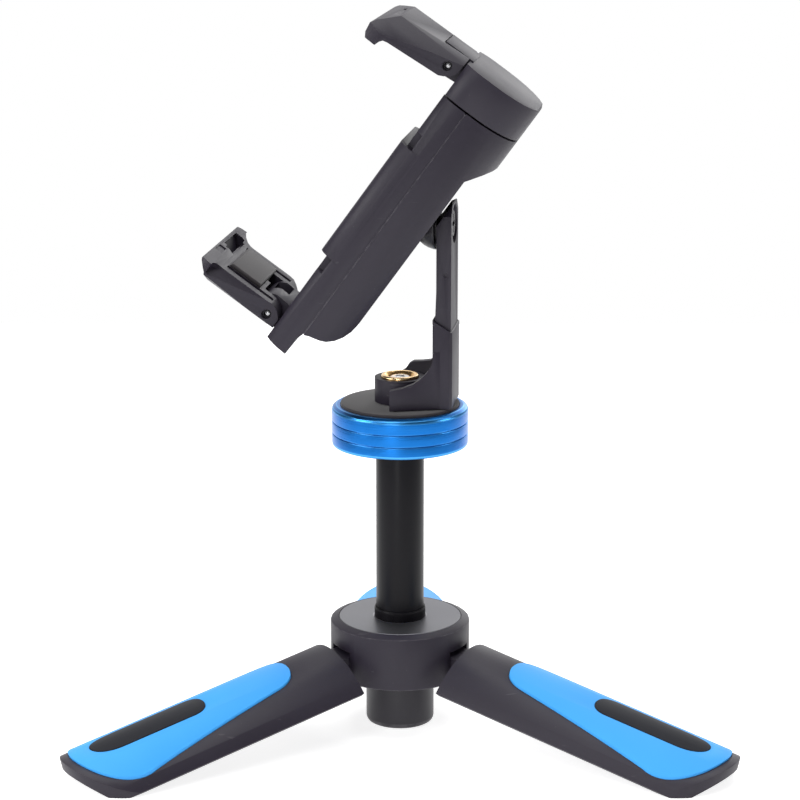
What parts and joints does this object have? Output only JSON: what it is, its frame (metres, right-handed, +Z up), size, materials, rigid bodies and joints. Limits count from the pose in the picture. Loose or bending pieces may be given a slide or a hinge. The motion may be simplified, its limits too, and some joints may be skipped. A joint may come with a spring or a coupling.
{
  "type": "mini phone tripod",
  "caption": "Small tabletop tripod with folding legs, a sliding column, a blue mounting disc and an angled bracket with a sprung phone clamp.",
  "frame": {"origin": "centre of the underside of the column sleeve, on the plane that the feet stand on", "axes": "+Z up along the column, -Y towards the picture's camera, +X to the right in the picture; the legs point to 90, 210 and 330 degrees about +Z"},
  "size_m": [0.1716, 0.153, 0.188],
  "materials": {
    "black_plastic": "satin",
    "dark_plastic": "satin",
    "soft_black": "matte",
    "blue_rubber": "matte",
    "blue_anodised": "satin",
    "grey_metal": "satin",
    "black_metal": "gloss",
    "brass": "satin",
    "steel": "satin"
  },
  "bodies": {
    "base": {"hub_body": "black_plastic", "hub_top_plate": "grey_metal", "column_sleeve": "black_metal", "column_bush": "dark_plastic", "column_collar": "soft_black", "hinge_pin_left": "steel", "hinge_pin_right": "steel", "hinge_pin_rear": "steel"},
    "leg_left": {"leg_left": "black_plastic", "leg_pad_left": "blue_rubber", "leg_oval_left": "black_plastic"},
    "leg_right": {"leg_right": "black_plastic", "leg_pad_right": "blue_rubber", "leg_oval_right": "black_plastic"},
    "leg_rear": {"leg_rear": "black_plastic", "leg_pad_rear": "blue_rubber", "leg_oval_rear": "black_plastic"},
    "column": {"column_tube": "black_metal", "mount_disc": "blue_anodised", "disc_pad": "soft_black", "mount_stud": "steel"},
    "holder": {"base_bracket": "black_plastic", "brass_insert": "brass", "upper_arm": "black_plastic", "arm_screw": "steel", "arm_washer": "black_metal"},
    "knuckle": {"knuckle": "dark_plastic"},
    "clamp": {"clamp_front": "black_plastic", "clamp_rear": "black_plastic", "housing_screw_1": "steel", "housing_screw_2": "steel", "housing_screw_3": "steel", "housing_screw_4": "steel", "tilt_pin": "steel", "jaw_pin_bottom": "steel", "clamp_spring_1": "steel", "clamp_spring_2": "steel"},
    "cap": {"slide_cap": "black_plastic", "slide_tongue": "dark_plastic", "guide_rod_1": "steel", "guide_rod_2": "steel", "jaw_pin_top": "steel"},
    "jaw_top": {"jaw_top": "black_plastic", "jaw_pad_top": "soft_black"},
    "jaw_bottom": {"jaw_bottom": "black_plastic", "jaw_pad_bottom": "soft_black"}
  },
  "joints": [
    {"name": "left_leg_fold", "type": "hinge", "parent": "base", "child": "leg_left", "pos_m": [-0.01082, -0.00625, 0.01931], "axis": [0.5, -0.866, 0], "range_deg": [0, 77]},
    {"name": "right_leg_fold", "type": "hinge", "parent": "base", "child": "leg_right", "pos_m": [0.01082, -0.00625, 0.01931], "axis": [0.5, 0.866, 0], "range_deg": [0, 77]},
    {"name": "rear_leg_fold", "type": "hinge", "parent": "base", "child": "leg_rear", "pos_m": [0, 0.0125, 0.01931], "axis": [-1, 0, 0], "range_deg": [0, 77]},
    {"name": "column_slide", "type": "slide", "parent": "base", "child": "column", "axis": [0, 0, 1], "range_m": [-0.0165, 0]},
    {"name": "holder_pan", "type": "hinge", "parent": "column", "child": "holder", "pos_m": [0, 0, 0.089], "axis": [0, 0, 1], "continuous": true},
    {"name": "knuckle_roll", "type": "hinge", "parent": "holder", "child": "knuckle", "pos_m": [0.0101, -0.0014, 0.1346], "axis": [0.9905, -0.1374, 0], "range_deg": [-12, 12]},
    {"name": "clamp_tilt", "type": "hinge", "parent": "knuckle", "child": "clamp", "pos_m": [0.00545, -0.00076, 0.1346], "axis": [0.1374, 0.9905, 0], "range_deg": [-24, 0]},
    {"name": "cap_slide", "type": "slide", "parent": "clamp", "child": "cap", "axis": [0.5808, -0.0806, 0.81], "range_m": [0, 0.026], "stiffness_N_per_m": 150, "springref_m": -0.02, "deforming": ["clamp_spring_1", "clamp_spring_2"]},
    {"name": "bottom_jaw_fold", "type": "hinge", "parent": "clamp", "child": "jaw_bottom", "pos_m": [-0.03177, 0.00441, 0.11281], "axis": [0.1374, 0.9905, 0], "range_deg": [0, 82]},
    {"name": "top_jaw_fold", "type": "hinge", "parent": "cap", "child": "jaw_top", "pos_m": [0.01371, -0.0019, 0.17623], "axis": [-0.1374, -0.9905, 0], "range_deg": [0, 82]}
  ]
}
